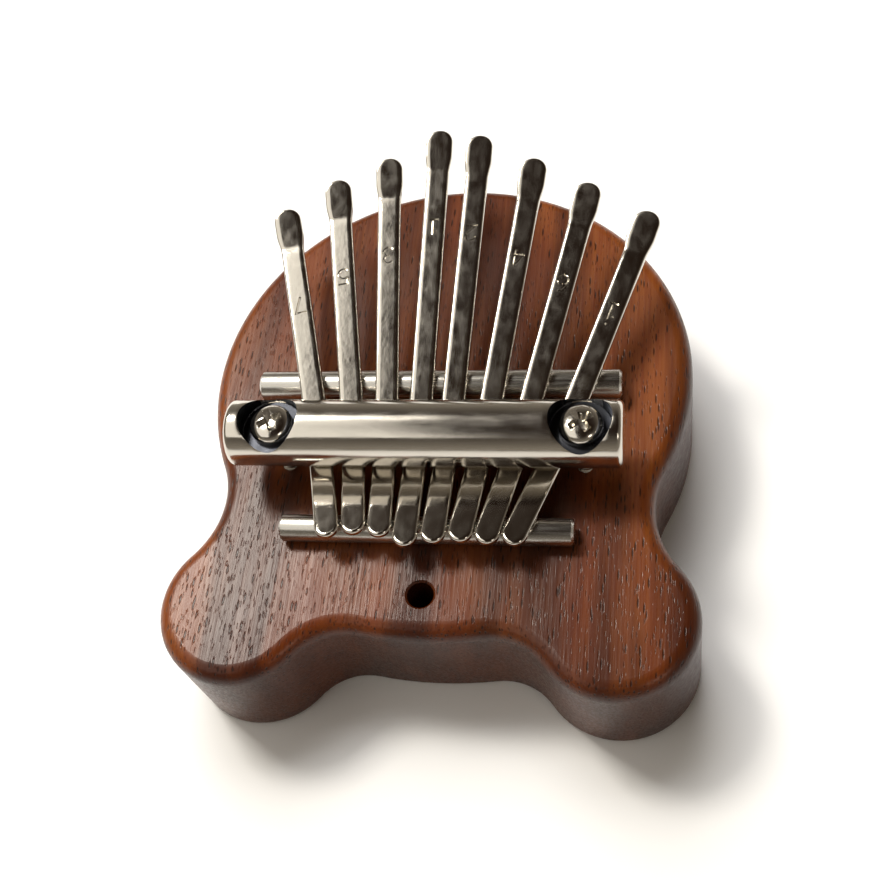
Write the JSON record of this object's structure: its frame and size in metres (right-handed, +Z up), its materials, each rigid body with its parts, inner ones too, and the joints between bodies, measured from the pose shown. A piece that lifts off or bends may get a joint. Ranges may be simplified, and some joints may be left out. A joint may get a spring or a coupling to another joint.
{
  "type": "thumb piano",
  "caption": "Pocket thumb piano: sprung steel tines clamped by a round bar over two rods on a solid wooden body with a round head, two round ears and a lanyard hole.",
  "frame": {"origin": "on the base, under the middle of the outline's bounding box", "axes": "+Y along the tines towards their playing tips, +X to the right when looking along +Y, +Z up out of the playing face"},
  "size_m": [0.0804, 0.0918, 0.0346],
  "materials": {
    "mahogany": "satin lacquered reddish-brown mahogany",
    "bar_steel": "polished nickel-plated steel",
    "rod_steel": "drawn bright steel rod",
    "screw_steel": "nickel-plated steel screw",
    "tine_steel": "rolled spring steel strip, nickel plated"
  },
  "bodies": {
    "root": {"wood_body": "mahogany", "front_bridge_rod": "rod_steel", "rear_bridge_rod": "rod_steel", "pressure_bar": "bar_steel", "screw_left": "screw_steel", "screw_right": "screw_steel", "tine_note_7_tail": "tine_steel", "tine_note_5_tail": "tine_steel", "tine_note_3_tail": "tine_steel", "tine_note_1_tail": "tine_steel", "tine_note_2_tail": "tine_steel", "tine_note_4_tail": "tine_steel", "tine_note_6_tail": "tine_steel", "tine_note_1_high_tail": "tine_steel"},
    "blade_note_7": {"tine_note_7_blade": "tine_steel"},
    "blade_note_5": {"tine_note_5_blade": "tine_steel"},
    "blade_note_3": {"tine_note_3_blade": "tine_steel"},
    "blade_note_1": {"tine_note_1_blade": "tine_steel"},
    "blade_note_2": {"tine_note_2_blade": "tine_steel"},
    "blade_note_4": {"tine_note_4_blade": "tine_steel"},
    "blade_note_6": {"tine_note_6_blade": "tine_steel"},
    "blade_note_1_high": {"tine_note_1_high_blade": "tine_steel"}
  },
  "joints": [
    {"name": "flex_note_7", "type": "hinge", "parent": "root", "child": "blade_note_7", "pos_m": [-0.02079, 0.00345, 0.02559], "axis": [0.9707, 0.2402, 0], "range_deg": [-4, 4], "stiffness_Nm_per_rad": 10.91},
    {"name": "flex_note_5", "type": "hinge", "parent": "root", "child": "blade_note_5", "pos_m": [-0.01426, 0.00345, 0.02556], "axis": [0.9882, 0.153, 0], "range_deg": [-4, 4], "stiffness_Nm_per_rad": 9.38},
    {"name": "flex_note_3", "type": "hinge", "parent": "root", "child": "blade_note_3", "pos_m": [-0.00818, 0.00347, 0.02553], "axis": [0.9973, 0.0732, 0], "range_deg": [-4, 4], "stiffness_Nm_per_rad": 8.5},
    {"name": "flex_note_1", "type": "hinge", "parent": "root", "child": "blade_note_1", "pos_m": [-0.00239, 0.00348, 0.0255], "axis": [1, 0.007, 0], "range_deg": [-4, 4], "stiffness_Nm_per_rad": 7.52},
    {"name": "flex_note_2", "type": "hinge", "parent": "root", "child": "blade_note_2", "pos_m": [0.00284, 0.00348, 0.02551], "axis": [0.9995, -0.0332, 0], "range_deg": [-4, 4], "stiffness_Nm_per_rad": 7.76},
    {"name": "flex_note_4", "type": "hinge", "parent": "root", "child": "blade_note_4", "pos_m": [0.00919, 0.00346, 0.02555], "axis": [0.993, -0.1184, 0], "range_deg": [-4, 4], "stiffness_Nm_per_rad": 8.72},
    {"name": "flex_note_6", "type": "hinge", "parent": "root", "child": "blade_note_6", "pos_m": [0.01578, 0.00345, 0.02558], "axis": [0.9774, -0.2113, 0], "range_deg": [-4, 4], "stiffness_Nm_per_rad": 9.92},
    {"name": "flex_note_1_high", "type": "hinge", "parent": "root", "child": "blade_note_1_high", "pos_m": [0.02326, 0.00345, 0.02561], "axis": [0.9461, -0.3239, 0], "range_deg": [-4, 4], "stiffness_Nm_per_rad": 11.62}
  ]
}
